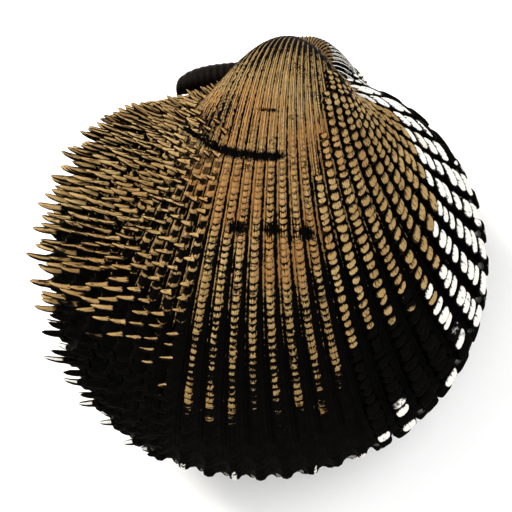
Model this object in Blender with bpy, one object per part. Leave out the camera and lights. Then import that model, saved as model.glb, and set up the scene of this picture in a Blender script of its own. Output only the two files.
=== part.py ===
"""Spiny cockle shell, both valves closed, lying on its left valve.

Every valve is one thin wall. Its outer surface is the track of the shell's edge as the shell grew: the
edge is a nearly round ring, and each earlier stage is a smaller copy of it, turned about the hinge line.
A rib follows one point of the ring through all the stages, from the beak down to the margin.

Own axes of the shell, before it is laid down: X runs from the back end to the front end, Y from the
lower margin up to the hinge, and Z out of the plane in which the valves meet. Metres and degrees.
"""

import math

import bmesh
import bpy
from mathutils import Matrix, Vector

# The ring, which is the valve's edge where the two valves meet
RING_RADIUS = 0.0394
RING_STRETCH_X = 1.035
RING_STRETCH_Y = 0.99
HINGE_FLATTENING = 0.135
HINGE_ANGLE = 97.0
HINGE_SPREAD = 30.0
HEEL_BULGE = 0.05
HEEL_ANGLE = 235.0
HEEL_SPREAD = 32.0

# The hinge axis, about which the stages turn, and how the size falls with the turn towards the beak
AXIS_X = 0.0044
AXIS_Y = 0.0340
GROWTH_LINEAR = 1.22
GROWTH_SQUARE = -0.46
GROWTH_CUBE = 0.105
BEAK_TURN = 172.0
BEAK_SHARPNESS = 8
WIDTH_POWER = 0.82
UMBO_NARROWING = 0.45
BEAK_RISE = 0.0009
BEAK_LEAN = 0.0035

# Extra fullness of the flanks, greatest at one turn and none beside the hinge
FLANK_SWELL = 0.0026
FLANK_TURN = 20.0
FLANK_HINGE_SPREAD = 34.0

# Wall and edge
VALVE_GAP = 0.0003
EDGE_HEIGHT = 0.0012
WALL = 0.0032
HINGE_PLATE = 0.0060
CAVITY_TURNS = (9.0, 22.0, 38.0, 58.0, 82.0)
CAVITY_END_TURN = 104.0

# Ribs: pitch along the ring, wider on the front half, and the part of a pitch that the flat top takes
RIB_PITCH = 0.0050
FRONT_PITCH = 0.0062
FRONT_PITCH_START = 0.012
FRONT_PITCH_END = 0.030
FIRST_RIB_X = 0.0062
LOWER_VALVE_SHIFT = 0.65
RIB_TOP_SHARE = 0.30
RIB_HEIGHT = 0.0011
RIB_FADE = 0.8
HINGE_CLEAR = 24.0
HINGE_COLUMNS = 4

# Stages at which the outer surface has a row of points
STAGE_TURNS = (5.4, 11.25, 18.0, 25.65, 36.0, 48.0, 63.0, 83.0, 112.0, 138.0, 159.0)
LAST_ORNAMENT_TURN = 71.0

# Growths on the ribs: spines at the back, ledges in the middle, bead tiles at the front
SPINE_FROM_ANGLE = 118.0
SPINE_TO_ANGLE = 240.0
TILE_FROM_ANGLE = 300.0
SPINE_LENGTH = 0.0054
SPINE_HALF_BASE = 0.0008
SPINE_SPREAD = 0.0030
SPINE_HOOK = 0.0016
LEDGE_HEIGHT = 0.0007
TILE_HEIGHT = 0.0010

# Ligament
LIGAMENT_BACK_X = -0.0172
LIGAMENT_FRONT_X = 0.0005
LIGAMENT_HEIGHT = 0.0043
LIGAMENT_HALF_WIDTH = 0.0032
LIGAMENT_CLEARANCE = 0.0004
LIGAMENT_STATIONS = 11
LIGAMENT_SIDES = 12

# How the shell lies: turned about X and then about Y from its own axes
REST_ABOUT_X = 15.807
REST_ABOUT_Y = 5.618

SMALL = 1e-5


def wrapped(angle):
    """The angle, in degrees, brought between -180 and 180."""
    return (angle + 180.0) % 360.0 - 180.0


def bump(angle, centre, spread):
    return math.exp(-((wrapped(angle - centre) / spread) ** 2))


def ring_point(angle, inset=0.0):
    """Point of the valve's edge in the meeting plane, moved inwards by inset."""
    radius = RING_RADIUS * (
        1.0
        - HINGE_FLATTENING * bump(angle, HINGE_ANGLE, HINGE_SPREAD)
        + HEEL_BULGE * bump(angle, HEEL_ANGLE, HEEL_SPREAD)
    )
    radius -= inset
    turn = math.radians(angle)
    return RING_STRETCH_X * radius * math.cos(turn), RING_STRETCH_Y * radius * math.sin(turn)


def stage_size(turn):
    """Size of the ring at a stage, as a share of the grown edge."""
    t = math.radians(turn)
    size = math.exp(-(GROWTH_LINEAR * t + GROWTH_SQUARE * t**2 + GROWTH_CUBE * t**3))
    tip = max(0.0, 1.0 - (turn / BEAK_TURN) ** BEAK_SHARPNESS)
    return size * math.sqrt(tip)


def stage_point(angle, turn, wall=0.0, lift=0.0):
    """Point of the stage at a turn. A wall moves it inwards, towards the inside of the valve."""
    size = stage_size(turn)
    inset = wall / size if wall else 0.0
    x, y = ring_point(angle, inset)
    t = math.radians(turn)
    reach = (y - AXIS_Y) * size
    grown = (1.0 - size) ** 2
    share = turn / FLANK_TURN
    off_hinge = 1.0 - bump(angle, HINGE_ANGLE, FLANK_HINGE_SPREAD)
    swell = FLANK_SWELL * share * math.exp(1.0 - share) * off_hinge
    return Vector((
        AXIS_X + (x - AXIS_X) * size ** (WIDTH_POWER + UMBO_NARROWING * grown) + BEAK_LEAN * grown,
        AXIS_Y + BEAK_RISE * grown + reach * math.cos(t),
        VALVE_GAP / 2.0 + lift + swell - reach * math.sin(t),
    ))


def outward(angle, turn):
    """Unit normal of the outer surface."""
    step_angle = 0.5
    step_turn = 0.5
    along = stage_point(angle + step_angle, turn) - stage_point(angle - step_angle, turn)
    back = stage_point(angle, turn + step_turn) - stage_point(angle, max(0.0, turn - step_turn))
    normal = along.cross(back)
    return normal.normalized() if normal.length > 0.0 else Vector((0.0, 0.0, 1.0))


def ring_table(samples=1440):
    """Angles round the ring and the length of the ring up to each of them."""
    angles = [360.0 * i / samples for i in range(samples + 1)]
    lengths = [0.0]
    for before, after in zip(angles, angles[1:]):
        x0, y0 = ring_point(before)
        x1, y1 = ring_point(after)
        lengths.append(lengths[-1] + math.hypot(x1 - x0, y1 - y0))
    return angles, lengths


def angle_at(length, table):
    angles, lengths = table
    length %= lengths[-1]
    low, high = 0, len(lengths) - 1
    while high - low > 1:
        middle = (low + high) // 2
        if lengths[middle] <= length:
            low = middle
        else:
            high = middle
    share = (length - lengths[low]) / (lengths[high] - lengths[low])
    return angles[low] + share * (angles[high] - angles[low])


def rib_bounds(shift):
    """(start, centre, end) angle of each rib, in order round the ring from the back of the hinge.

    The shift is in pitches: the ribs of one valve end between those of the other.
    """
    table = ring_table()
    angles, lengths = table
    first = min(
        (i for i, angle in enumerate(angles) if 200.0 < angle < 340.0),
        key=lambda i: abs(ring_point(angles[i])[0] - FIRST_RIB_X),
    )
    start = lengths[first] + shift * RIB_PITCH

    def walk(direction, pitch_at):
        found, at = [], 0.0
        while True:
            pitch = pitch_at(at)
            ends = [angle_at(start + direction * (at + share * pitch), table) for share in (0.0, 0.5, 1.0)]
            if abs(wrapped(ends[2] - HINGE_ANGLE)) < HINGE_CLEAR:
                return found
            found.append(tuple(ends))
            at += pitch

    def front_pitch(at):
        share = min(1.0, max(0.0, (at - FRONT_PITCH_START) / (FRONT_PITCH_END - FRONT_PITCH_START)))
        return RIB_PITCH + share * (FRONT_PITCH - RIB_PITCH)

    forward = walk(1.0, front_pitch)
    backward = [(end, centre, begin) for begin, centre, end in walk(-1.0, lambda at: RIB_PITCH)]
    return backward[::-1] + forward


def columns(shift):
    """(angle, depth) of every column of points round the ring, and the columns of each rib's top.

    Depth is 1 in the bottom of a groove and 0 on a rib's top.
    """
    ribs = rib_bounds(shift)
    made, tops, centres = [], [], []
    for begin, centre, end in ribs:
        span = wrapped(end - begin)
        made.append((begin, 1.0))
        tops.append((len(made), len(made) + 1, centre))
        made.append((centre - RIB_TOP_SHARE * span, 0.0))
        made.append((centre + RIB_TOP_SHARE * span, 0.0))
        centres.append(centre)
    last, first = ribs[-1][2], ribs[0][0]
    span = wrapped(first - last) % 360.0
    for i in range(HINGE_COLUMNS + 1):
        angle = last + span * i / (HINGE_COLUMNS + 1)
        made.append((angle, 1.0 if i == 0 else 0.5))
    return made, tops, centres


def outer_point(angle, turn, lift, depth):
    """Point of the ribbed outer surface. At the edge the ribs spread in the meeting plane only."""
    height = RIB_HEIGHT * stage_size(turn) ** RIB_FADE
    place = stage_point(angle, turn, 0.0, lift)
    if turn == 0.0:
        x, y = ring_point(angle)
        flat = Vector((x, y, 0.0)).normalized()
        return place - flat * height * depth
    return place - outward(angle, turn) * height * depth


def add_ledge(bm, cell, angle, turn, height):
    """A ridge across the rib, leaning over towards the margin, in place of a cell of the rib's top."""
    low_left, low_right, high_right, high_left = cell
    normal = outward(angle, turn)
    crest = []
    for low, high in ((low_left, high_left), (low_right, high_right)):
        crest.append(bm.verts.new(low.co.lerp(high.co, 0.22) + normal * height))
    bm.faces.new((low_left, low_right, crest[1], crest[0]))
    bm.faces.new((crest[0], crest[1], high_right, high_left))
    bm.faces.new((low_left, crest[0], high_left))
    bm.faces.new((low_right, high_right, crest[1]))


def add_spine(bm, cell, angle, turn, length):
    """A blunt hooked spine with a narrow foot, in place of a cell of the rib's top."""
    normal = outward(angle, turn)
    middle = sum((v.co for v in cell), Vector()) / 4.0
    down = (cell[0].co + cell[1].co - cell[2].co - cell[3].co).normalized()
    across = (cell[1].co - cell[0].co).normalized()
    foot = []
    for v in cell:
        arm = v.co - middle
        reach = min(1.0, SPINE_HALF_BASE / max(SMALL, abs(arm.dot(down))))
        side = min(1.0, SPINE_HALF_BASE / max(SMALL, abs(arm.dot(across))))
        offset = down * arm.dot(down) * reach + across * arm.dot(across) * side
        foot.append(bm.verts.new(middle + offset + normal * 0.1 * SPINE_HALF_BASE))
    for i in range(4):
        j = (i + 1) % 4
        bm.faces.new((cell[i], cell[j], foot[j], foot[i]))
    x, y = ring_point(angle)
    lean = Vector((x, y, 0.0)).normalized() * SPINE_SPREAD + Vector((0.0, SPINE_HOOK, 0.0))
    tip = bm.verts.new(middle + normal * length + lean * length / SPINE_LENGTH)
    for i in range(4):
        bm.faces.new((foot[i], foot[(i + 1) % 4], tip))


def ornament(bm, cell, rib, row, angle, turn):
    """What grows on this cell of a rib's top. The cell is marginwards pair first."""
    size = stage_size(turn) ** 0.5
    around = angle % 360.0
    if SPINE_FROM_ANGLE < around < SPINE_TO_ANGLE:
        if (rib + row) % 2:
            bm.faces.new(cell)
        else:
            add_spine(bm, cell, angle, turn, SPINE_LENGTH * size)
    elif around < SPINE_FROM_ANGLE or around > TILE_FROM_ANGLE:
        add_ledge(bm, cell, angle, turn, TILE_HEIGHT * size)
    else:
        add_ledge(bm, cell, angle, turn, LEDGE_HEIGHT * size)


def valve_mesh(side):
    """One valve as a closed wall. Side is 1 for the upper valve and -1 for its mirror image."""
    bm = bmesh.new()
    made, tops, centres = columns(0.0 if side > 0 else LOWER_VALVE_SHIFT)
    stages = [(0.0, 0.0), (0.0, EDGE_HEIGHT)] + [(turn, EDGE_HEIGHT) for turn in STAGE_TURNS]
    rows = []
    for turn, lift in stages:
        rows.append([bm.verts.new(outer_point(angle, turn, lift, depth)) for angle, depth in made])
    count = len(made)
    top_of = {left: (index, centre) for index, (left, right, centre) in enumerate(tops)}
    for i in range(len(rows) - 1):
        for j in range(count):
            k = (j + 1) % count
            cell = (rows[i][j], rows[i][k], rows[i + 1][k], rows[i + 1][j])
            turn = (stages[i][0] + stages[i + 1][0]) / 2.0
            if j in top_of and i > 0 and turn < LAST_ORNAMENT_TURN:
                rib, centre = top_of[j]
                ornament(bm, cell, rib, i, centre, turn)
            else:
                bm.faces.new(cell)
    beak = bm.verts.new(stage_point(HINGE_ANGLE, BEAK_TURN, 0.0, EDGE_HEIGHT))
    for j in range(count):
        bm.faces.new((rows[-1][j], rows[-1][(j + 1) % count], beak))

    # The inside: a column under every second rib and two along the hinge plate
    under = centres[:-1:2] + [centres[-1]]
    span = wrapped(under[0] - under[-1]) % 360.0
    inner_angles = under + [under[-1] + span / 3.0, under[-1] + span * 2.0 / 3.0]
    inner_rows = []
    for turn in (0.0,) + CAVITY_TURNS:
        row = []
        for angle in inner_angles:
            plate = HINGE_PLATE * bump(angle, HINGE_ANGLE, HINGE_SPREAD) * stage_size(turn)
            row.append(bm.verts.new(stage_point(angle, turn, WALL + plate)))
        inner_rows.append(row)
    inner_count = len(inner_angles)
    for i in range(len(inner_rows) - 1):
        for j in range(inner_count):
            k = (j + 1) % inner_count
            bm.faces.new((inner_rows[i][j], inner_rows[i + 1][j], inner_rows[i + 1][k], inner_rows[i][k]))
    roof = sum((v.co for v in inner_rows[-1]), Vector()) / inner_count
    deep = sum((stage_point(a, CAVITY_END_TURN, WALL) for a in inner_angles), Vector()) / inner_count
    peak = bm.verts.new(roof.lerp(deep, 0.5))
    for j in range(inner_count):
        bm.faces.new((inner_rows[-1][j], peak, inner_rows[-1][(j + 1) % inner_count]))

    # The rim between the outer edge and the inner edge, fanned from whichever side falls behind
    outer = [(angle % 360.0, rows[0][j]) for j, (angle, depth) in enumerate(made)]
    inner = [(angle % 360.0, inner_rows[0][j]) for j, angle in enumerate(inner_angles)]
    begin = outer[0][0]
    outer_turns = [((angle - begin) % 360.0, v) for angle, v in outer] + [(360.0, outer[0][1])]
    shifted = [((angle - begin) % 360.0, v) for angle, v in inner]
    inner_turns = shifted + [(shifted[0][0] + 360.0, shifted[0][1])]
    i = j = 0
    while i < len(outer_turns) - 1 or j < len(inner_turns) - 1:
        step_outer = j == len(inner_turns) - 1 or (
            i < len(outer_turns) - 1 and outer_turns[i + 1][0] <= inner_turns[j + 1][0]
        )
        if step_outer:
            bm.faces.new((outer_turns[i + 1][1], outer_turns[i][1], inner_turns[j][1]))
            i += 1
        else:
            bm.faces.new((outer_turns[i][1], inner_turns[j][1], inner_turns[j + 1][1]))
            j += 1
    if side < 0:
        for v in bm.verts:
            v.co.z = -v.co.z
    bmesh.ops.recalc_face_normals(bm, faces=bm.faces)
    if bm.calc_volume(signed=True) < 0.0:
        bmesh.ops.reverse_faces(bm, faces=bm.faces)
    return bm


def hinge_height(x):
    """Height of the grown edge above the ring's centre at a place along the hinge."""
    best = min(
        (HINGE_ANGLE - 60.0 + 0.25 * i for i in range(480)),
        key=lambda angle: abs(ring_point(angle)[0] - x),
    )
    return ring_point(best)[1]


def ligament_mesh():
    """The band behind the beaks: a long bean that lies on both valves' hinge edges."""
    bm = bmesh.new()
    rings = []
    length = LIGAMENT_FRONT_X - LIGAMENT_BACK_X
    for i in range(LIGAMENT_STATIONS):
        share = (i + 0.5) / LIGAMENT_STATIONS
        swell = math.sqrt(max(0.0, 1.0 - abs(2.0 * share - 1.0) ** 2.6))
        x = LIGAMENT_BACK_X + share * length
        floor = hinge_height(x) + LIGAMENT_CLEARANCE
        height = LIGAMENT_HEIGHT * (0.45 + 0.55 * swell)
        half = LIGAMENT_HALF_WIDTH * (0.35 + 0.65 * swell) * (1.0 - 0.45 * share)
        ring = []
        for j in range(LIGAMENT_SIDES):
            turn = 2.0 * math.pi * j / LIGAMENT_SIDES
            y = floor + height * (0.5 + 0.5 * math.sin(turn))
            ring.append(bm.verts.new((x, y, half * math.cos(turn))))
        rings.append(ring)
    for before, after in zip(rings, rings[1:]):
        for j in range(LIGAMENT_SIDES):
            k = (j + 1) % LIGAMENT_SIDES
            bm.faces.new((before[j], before[k], after[k], after[j]))
    for ring, push in ((rings[0], -0.5), (rings[-1], 0.5)):
        centre = sum((v.co for v in ring), Vector()) / LIGAMENT_SIDES
        end = bm.verts.new(centre + Vector((push * length / LIGAMENT_STATIONS, 0.0, 0.0)))
        for j in range(LIGAMENT_SIDES):
            bm.faces.new((ring[j], ring[(j + 1) % LIGAMENT_SIDES], end))
    bmesh.ops.recalc_face_normals(bm, faces=bm.faces)
    if bm.calc_volume(signed=True) < 0.0:
        bmesh.ops.reverse_faces(bm, faces=bm.faces)
    return bm


def material(name, colour, roughness):
    made = bpy.data.materials.new(name)
    made.use_nodes = True
    shader = made.node_tree.nodes["Principled BSDF"]
    shader.inputs["Base Color"].default_value = (*colour, 1.0)
    shader.inputs["Roughness"].default_value = roughness
    return made


def lay_down(meshes):
    """Turn the shell to the way it lies, put its lowest point on the floor and centre it."""
    pitch = Matrix.Rotation(math.radians(REST_ABOUT_X), 4, "X")
    roll = Matrix.Rotation(math.radians(REST_ABOUT_Y), 4, "Y")
    for bm in meshes:
        bm.transform(roll @ pitch)
    points = [v.co for bm in meshes for v in bm.verts]
    low = [min(p[axis] for p in points) for axis in range(3)]
    high = [max(p[axis] for p in points) for axis in range(3)]
    shift = Vector((-(low[0] + high[0]) / 2.0, -(low[1] + high[1]) / 2.0, -low[2]))
    for bm in meshes:
        bm.transform(Matrix.Translation(shift))


def add_object(name, bm, made):
    mesh = bpy.data.meshes.new(name)
    bmesh.ops.triangulate(bm, faces=bm.faces)
    bm.to_mesh(mesh)
    bm.free()
    mesh.materials.append(made)
    thing = bpy.data.objects.new(name, mesh)
    bpy.context.scene.collection.objects.link(thing)
    return thing


def main():
    for thing in list(bpy.data.objects):
        bpy.data.objects.remove(thing, do_unlink=True)
    upper = valve_mesh(1)
    lower = valve_mesh(-1)
    band = ligament_mesh()
    lay_down([upper, lower, band])
    add_object("right_valve", upper, material("right_valve_shell", (0.46, 0.28, 0.12), 0.55))
    add_object("left_valve", lower, material("left_valve_shell", (0.44, 0.27, 0.12), 0.55))
    add_object("ligament", band, material("ligament_horn", (0.035, 0.018, 0.010), 0.45))


main()
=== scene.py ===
# Closed spiny cockle, lying on its left valve, seen from above the right one.
import math

import bpy
import numpy as np
from mathutils import Matrix, Vector


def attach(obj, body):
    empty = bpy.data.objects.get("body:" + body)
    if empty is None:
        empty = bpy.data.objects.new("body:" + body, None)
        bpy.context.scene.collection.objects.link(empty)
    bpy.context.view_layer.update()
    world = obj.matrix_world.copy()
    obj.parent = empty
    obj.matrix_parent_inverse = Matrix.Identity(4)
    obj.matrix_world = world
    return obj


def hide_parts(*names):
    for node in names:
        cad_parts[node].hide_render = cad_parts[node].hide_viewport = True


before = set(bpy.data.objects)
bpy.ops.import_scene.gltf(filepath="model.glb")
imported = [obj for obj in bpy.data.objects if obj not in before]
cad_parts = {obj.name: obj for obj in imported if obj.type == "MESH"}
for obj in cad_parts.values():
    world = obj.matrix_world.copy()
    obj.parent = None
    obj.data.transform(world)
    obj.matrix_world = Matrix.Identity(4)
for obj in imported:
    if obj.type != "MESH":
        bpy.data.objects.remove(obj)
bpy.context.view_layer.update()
seed = 7
mm = 0.001
print("frame loaded")

# The grown edge of a valve, the hinge axis its stages turn about, and how they shrink towards the beak
form = {
    "radius": 39.4 * mm,
    "stretchX": 1.035,
    "stretchY": 0.99,
    "hingeFlat": 0.135,
    "hingeAngle": 97.0,
    "hingeSpread": 30.0,
    "heelBulge": 0.05,
    "heelAngle": 235.0,
    "heelSpread": 32.0,
    "axisX": 4.4 * mm,
    "axisY": 34.0 * mm,
    "growth": (1.22, -0.46, 0.105),
    "beakTurn": 172.0,
    "beakSharpness": 8,
    "widthPower": 0.82,
    "umboNarrowing": 0.45,
    "beakRise": 0.9 * mm,
    "beakLean": 3.5 * mm,
    "flankSwell": 2.6 * mm,
    "flankTurn": 20.0,
    "flankSpread": 34.0,
    "gap": 0.3 * mm,
    "edge": 1.2 * mm,
    "wall": 3.2 * mm,
    "hingePlate": 6.0 * mm,    # added to the wall under the hinge
}
# How the shell lies: turned about X, then about Y, then moved
lying = {"aboutX": 15.807, "aboutY": 5.618, "move": (2.5507 * mm, -2.9555 * mm, 25.8603 * mm)}


def wrapped(angle):
    return (angle + 180.0) % 360.0 - 180.0


def bump(angle, centre, spread):
    return np.exp(-((wrapped(angle - centre) / spread) ** 2))


def smooth(value, low, high):
    t = np.clip((value - low) / (high - low), 0.0, 1.0)
    return t * t * (3.0 - 2.0 * t)


def ringPoint(angle, inset=0.0):
    radius = form["radius"] * (
        1.0
        - form["hingeFlat"] * bump(angle, form["hingeAngle"], form["hingeSpread"])
        + form["heelBulge"] * bump(angle, form["heelAngle"], form["heelSpread"])
    ) - inset
    turn = np.radians(angle)
    return form["stretchX"] * radius * np.cos(turn), form["stretchY"] * radius * np.sin(turn)


def stageSize(turn):
    t = np.radians(turn)
    a, b, c = form["growth"]
    tip = np.maximum(0.0, 1.0 - (turn / form["beakTurn"]) ** form["beakSharpness"])
    return np.exp(-(a * t + b * t**2 + c * t**3)) * np.sqrt(tip)


def stagePoint(angle, turn, wall=0.0, lift=0.0):
    size = stageSize(turn)
    x, y = ringPoint(angle, wall / np.maximum(size, 0.02))
    t = np.radians(turn)
    reach = (y - form["axisY"]) * size
    grown = (1.0 - size) ** 2
    width = size ** (form["widthPower"] + form["umboNarrowing"] * grown)
    share = turn / form["flankTurn"]
    offHinge = 1.0 - bump(angle, form["hingeAngle"], form["flankSpread"])
    swell = form["flankSwell"] * share * np.exp(1.0 - share) * offHinge
    return np.stack(np.broadcast_arrays(
        form["axisX"] + (x - form["axisX"]) * width + form["beakLean"] * grown,
        form["axisY"] + form["beakRise"] * grown + reach * np.cos(t),
        form["gap"] / 2.0 + lift + swell - reach * np.sin(t),
    ), axis=-1)


def unit(v):
    return v / np.maximum(np.linalg.norm(v, axis=-1, keepdims=True), 1e-12)


def outward(angle, turn):
    along = stagePoint(angle + 0.5, turn) - stagePoint(angle - 0.5, turn)
    back = stagePoint(angle, turn + 0.5) - stagePoint(angle, np.maximum(0.0, turn - 0.5))
    return unit(np.cross(along, back))


# Ribs round the edge, wider on the front half. The lower valve's ribs end between the upper one's.
# Each is a broad knobbly ridge with a thin smooth one beside it, in shares of the rib's pitch.
ribs = {
    "pitch": 5.0 * mm,
    "frontPitch": 6.2 * mm,
    "widenFrom": 12.0 * mm,
    "widenTo": 30.0 * mm,
    "firstX": 6.2 * mm,
    "lowerShift": 0.65,
    "hingeClear": 24.0,
    "height": 1.15 * mm,
    "fade": 0.8,
    "ridgeAt": 0.07,
    "ridgeHalf": 0.27,
    "threadAt": -0.333,
    "threadHalf": 0.062,
    "threadHeight": 0.5,
    "rounding": 0.24 * mm,
    "bulge": 0.16,
    "endHighlights": 0.65,           # part of the ribs with a painted highlight on their end at the margin
}


def ribBounds(shift):
    angles = np.linspace(0.0, 360.0, 1441)
    x, y = ringPoint(angles)
    lengths = np.concatenate([[0.0], np.cumsum(np.hypot(np.diff(x), np.diff(y)))])
    low = (angles > 200.0) & (angles < 340.0)
    first = np.flatnonzero(low)[np.argmin(np.abs(x[low] - ribs["firstX"]))]
    start = lengths[first] + shift * ribs["pitch"]

    def walk(direction):
        found, at = [], 0.0
        while True:
            share = np.clip((at - ribs["widenFrom"]) / (ribs["widenTo"] - ribs["widenFrom"]), 0.0, 1.0)
            pitch = ribs["pitch"] + (share * (ribs["frontPitch"] - ribs["pitch"]) if direction > 0 else 0.0)
            places = start + direction * (at + np.array([0.0, 0.5, 1.0]) * pitch)
            ends = np.interp(places % lengths[-1], lengths, angles)
            if abs(wrapped(ends[2] - form["hingeAngle"])) < ribs["hingeClear"]:
                return found
            found.append(tuple(ends))
            at += pitch

    forward = walk(1.0)
    backward = [tuple(reversed(ends)) for ends in walk(-1.0)]
    return backward[::-1] + forward


# Points of the surface: columns across a rib, and rows at fixed places of each growth ledge
mesh = {
    "columns": (-0.5, -0.40, -0.355, -0.31, -0.262, -0.20, -0.08, 0.07, 0.22, 0.345),
    "hingeRibs": 7,
    "hingeColumns": (-0.5, -0.34, -0.15, 0.07, 0.30),
    "ledgeRows": (0.0, 0.12, 0.50),
    "umboStep": 1.1 * mm,
    "edgeRows": (0.0, 0.3, 0.65),     # shares of the rounded edge
    "innerEvery": 4,                  # columns of the outside to one of the inside
    "innerTurns": (0.0, 4.0, 9.0, 15.0, 22.0, 30.0, 38.0, 48.0, 60.0, 74.0, 86.0),
}
# What grows on the ribs, by the rib's place round the edge
growths = {
    "spinesFrom": 127.0,
    "spinesTo": 243.0,
    "tilesFrom": 300.0,
    "spineTurn": 74.0,
    "tileTurn": 101.0,
    "tileLag": (46.0, 332.0),   # beads stop earlier on the first bead rib, less and less up to this place
    "ledge": 0.62 * mm,
    "ledgeStep": 1.7 * mm,
    "ledgeShrink": 0.5,
    "ledgeArch": 0.22,
    "ledgeTurn": 84.0,
    "ledgeFade": 34.0,          # in turn, before they end
    "wave": 0.07 * mm,
}


def ribKind(centre):
    around = centre % 360.0
    if growths["spinesFrom"] < around < growths["spinesTo"]:
        return "spines"
    return "ledges" if growths["spinesTo"] <= around <= growths["tilesFrom"] else "tiles"


def tileEnd(centre):
    lag, until = growths["tileLag"]
    around = np.where(centre % 360.0 < 200.0, centre % 360.0 + 360.0, centre % 360.0)
    return growths["tileTurn"] - lag * (1.0 - smooth(around, growths["tilesFrom"], until))


# Growth counted in ledges from the margin, against the turn about the hinge
denseTurns = np.linspace(0.0, form["beakTurn"] - 0.6, 6000)
densePath = stagePoint(275.0, denseTurns)
denseLengths = np.concatenate([[0.0], np.cumsum(np.linalg.norm(np.diff(densePath, axis=0), axis=1))])
denseSteps = growths["ledgeStep"] * stageSize(denseTurns) ** growths["ledgeShrink"]
denseCounts = np.concatenate([[0.0], np.cumsum(np.diff(denseLengths) / denseSteps[1:])])


def turnOf(count):
    return np.interp(count, denseCounts, denseTurns)


def countOf(turn):
    return np.interp(turn, denseTurns, denseCounts)


def countRows():
    last = int(countOf(growths["ledgeTurn"]))
    rows = [n + f for n in range(last) for f in mesh["ledgeRows"]]
    at = np.interp(float(last), denseCounts, denseLengths)
    while at < denseLengths[-1]:
        rows.append(float(np.interp(at, denseLengths, denseCounts)))
        at += mesh["umboStep"]
    return np.array(rows)


# Colour zones, in the shell's own axes: the lower third goes black, painted shade, and the front edge is
# bleached
zones = {
    "dusk": -25.0 * mm,
    "shadeBelowFront": 30.0,         # how much higher the black climbs towards the front, per metre squared
    "shadeBelowBack": 15.0,
    "shadeBelowDepth": 9.0 * mm,
    "shadeBelowCap": -7.0 * mm,      # the front edge stays clear of it above this
    "deepAbove": 34.0 * mm,    # the grooves widen over this height above the black
    # the ring's own outline moved back and up by this bounds the bleached edge of each valve
    "paleShift": {1: (6.5 * mm, 4.0 * mm), -1: (11.5 * mm, -2.3 * mm)},
    "paleFrom": 1.0 * mm,      # the lower valve is bleached in front of this only
    "paleFade": {1: (50.0, 74.0), -1: (122.0, 150.0)},     # in turn, towards the beak
    "paleEdge": 0.8 * mm,
    # dark lines: places round the edge, the turn at each, width in turn, how broken
    "bands": (
        ((207.0, 245.5, 284.0), (67.4, 64.9, 63.8), 1.8, 0.0),
        ((252.0, 275.5, 299.0), (44.6, 44.3, 40.6), 2.1, 0.75),
        ((262.0, 270.0, 278.0), (80.2, 80.0, 79.4), 1.0, 0.3),
    ),
    "seam": (30.0, 92.0, 2.2),     # painted shade line along the edge in front of the beaks, where the valves meet, and its width in turn
}


# Painted shade: below this level, which climbs towards both ends, the lower third goes black
def shadeBelowLevel(place):
    x = place[..., 0]
    level = zones["dusk"] + np.where(x > 0.0, zones["shadeBelowFront"], zones["shadeBelowBack"]) * x**2
    return np.minimum(level, zones["shadeBelowCap"])


def shadeBelowOf(place):
    return np.clip(0.5 + (shadeBelowLevel(place) - place[..., 1]) / (2.0 * zones["shadeBelowDepth"]), 0.0, 1.0)


def paleOf(place, turn, side):
    backward, upward = zones["paleShift"][side]
    x, y = place[..., 0] + backward, place[..., 1] - upward
    rx, ry = ringPoint(np.degrees(np.arctan2(y, x)))
    over = np.hypot(x, y) - np.hypot(rx, ry)
    fade = 1.0 - smooth(turn, *zones["paleFade"][side])
    ahead = 1.0 if side > 0 else smooth(place[..., 0], zones["paleFrom"], zones["paleFrom"] + 8.0 * mm)
    return smooth(over, -zones["paleEdge"], zones["paleEdge"]) * fade * ahead


def bandsAndSeamShadeOf(angle, turn):
    band = np.zeros(np.broadcast(angle, turn).shape)
    around = angle % 360.0
    for places, turns, width, broken in zones["bands"]:
        low, high = places[0], places[-1]
        at = np.interp(around, places, turns)
        window = smooth(around, low - 5.0, low + 5.0) * (1.0 - smooth(around, high - 5.0, high + 5.0))
        window = window * (1.0 - broken * (0.5 + 0.5 * np.cos(around * 0.37 + 1.1)))
        band = np.maximum(band, np.exp(-(((turn - at) / width) ** 2)) * window)
    low, high, seamTurn = zones["seam"]
    window = smooth(around, low - 6.0, low + 6.0) * (1.0 - smooth(around, high - 6.0, high + 6.0))
    return np.maximum(band, (1.0 - smooth(turn, seamTurn * 0.6, seamTurn)) * window)


def stacked(*values):
    return np.stack(np.broadcast_arrays(*values), axis=-1)


def lyingTurn():
    aboutX = Matrix.Rotation(math.radians(lying["aboutX"]), 3, "X")
    return Matrix.Rotation(math.radians(lying["aboutY"]), 3, "Y") @ aboutX


def lay(points, side):
    # from the shell's own axes to where it lies; side -1 is the mirror image below the meeting plane
    points = np.asarray(points, float).copy()
    points[..., 2] *= side
    return points @ np.array(lyingTurn()).T + np.array(lying["move"])


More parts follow.
